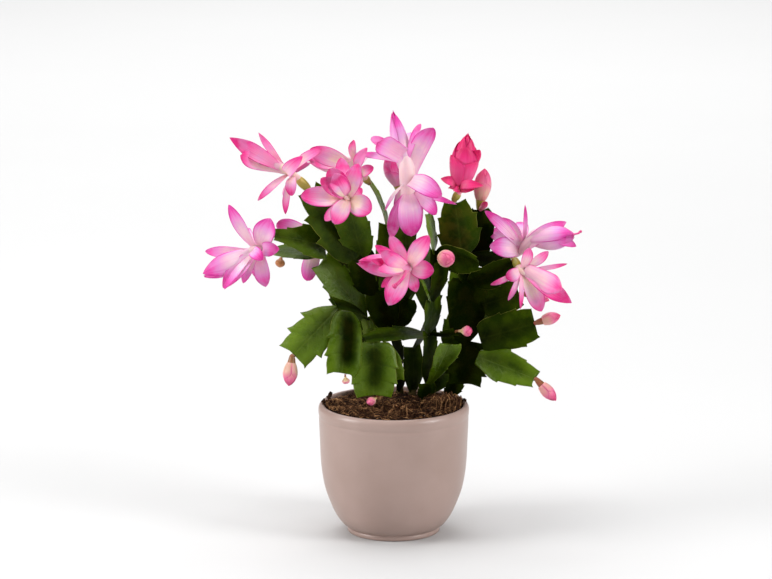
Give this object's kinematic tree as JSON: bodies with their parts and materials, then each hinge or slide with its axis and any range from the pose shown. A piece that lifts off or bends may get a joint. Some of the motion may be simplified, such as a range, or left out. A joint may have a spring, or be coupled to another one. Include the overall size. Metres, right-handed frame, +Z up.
{
  "type": "potted christmas cactus",
  "caption": "Flowering holiday cactus with flat toothed stem segments, two-tiered pink blooms and buds, growing in a round glazed pot.",
  "frame": {"origin": "centre of the pot's flat underside, on the surface that it stands on", "axes": "+Z up along the pot's axis; the viewer of the picture looks along +Y, and +X is to the viewer's right"},
  "size_m": [0.3008, 0.2261, 0.3438],
  "materials": {
    "glaze": "satin",
    "soil": "matte",
    "leaf": "satin",
    "petal": "satin",
    "bud": "satin"
  },
  "bodies": {
    "root": {"pot": "glaze", "soil": "soil", "stem_left": "leaf", "stem_middle": "leaf", "stem_main": "leaf", "stem_right": "leaf", "stem_back": "leaf", "stem_far_left": "leaf", "stem_far_right": "leaf", "bloom_upper_left": "petal", "bloom_left_front": "petal", "bloom_arched": "petal", "bloom_top": "petal", "bloom_half_open": "petal", "bloom_right": "petal", "bloom_lower_right": "petal", "bloom_front": "petal", "bloom_left": "petal", "bloom_rear_left": "petal", "bloom_back_left": "petal", "bloom_back_middle": "petal", "bloom_back_right": "petal", "bud_lower_left": "bud", "bud_small_left": "bud", "bud_apron": "bud", "bud_middle": "bud", "bud_peg": "bud", "bud_right": "bud", "bud_right_rear": "bud", "bud_lower_right": "bud", "bud_tan": "bud", "bud_tall": "bud", "bud_red": "bud", "bud_back_right": "bud", "bud_back_left": "bud"}
  },
  "joints": []
}
